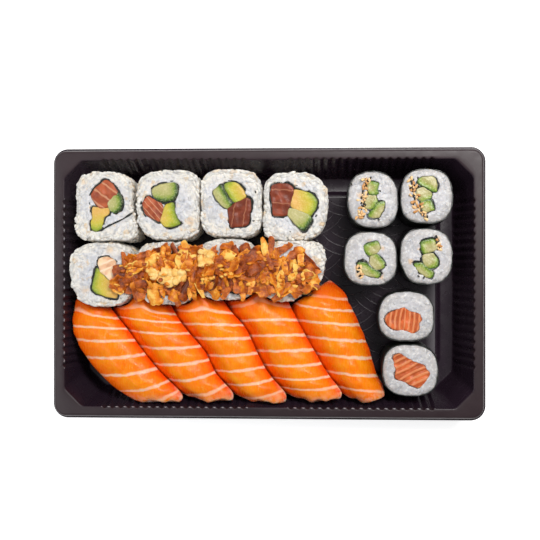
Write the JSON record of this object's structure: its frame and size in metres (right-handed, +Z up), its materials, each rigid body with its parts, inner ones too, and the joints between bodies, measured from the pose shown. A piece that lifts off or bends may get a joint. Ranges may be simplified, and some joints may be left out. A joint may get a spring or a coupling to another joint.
{
  "type": "takeaway sushi tray",
  "caption": "Black moulded takeaway tray holding inside-out rolls, some topped with crispy onion, thin cucumber and salmon rolls, and a row of salmon nigiri.",
  "frame": {"origin": "on the ground under the middle of the tray", "axes": "+Z up, +X along the tray's length towards the thin rolls, +Y towards the back row of inside-out rolls"},
  "size_m": [0.236, 0.148, 0.0411],
  "materials": {
    "tray": "glossy black with a satin rim",
    "rice": "moist cooked rice",
    "salmon_slice": "moist, glossy raw fish",
    "crispy_onion": "dry, brittle golden brown flakes"
  },
  "bodies": {
    "root": {"tray": "tray", "uramaki_1": "rice", "uramaki_2": "rice", "uramaki_3": "rice", "uramaki_4": "rice", "uramaki_5": "rice", "uramaki_6": "rice", "uramaki_7": "rice", "uramaki_8": "rice", "hosomaki_cucumber_1": "rice", "hosomaki_cucumber_2": "rice", "hosomaki_cucumber_3": "rice", "hosomaki_cucumber_4": "rice", "hosomaki_salmon_1": "rice", "hosomaki_salmon_2": "rice", "crispy_onion_heap": "crispy_onion", "nigiri_salmon_1": "salmon_slice", "nigiri_rice_1": "rice", "nigiri_salmon_2": "salmon_slice", "nigiri_rice_2": "rice", "nigiri_salmon_3": "salmon_slice", "nigiri_rice_3": "rice", "nigiri_salmon_4": "salmon_slice", "nigiri_rice_4": "rice", "nigiri_salmon_5": "salmon_slice", "nigiri_rice_5": "rice"}
  },
  "joints": []
}
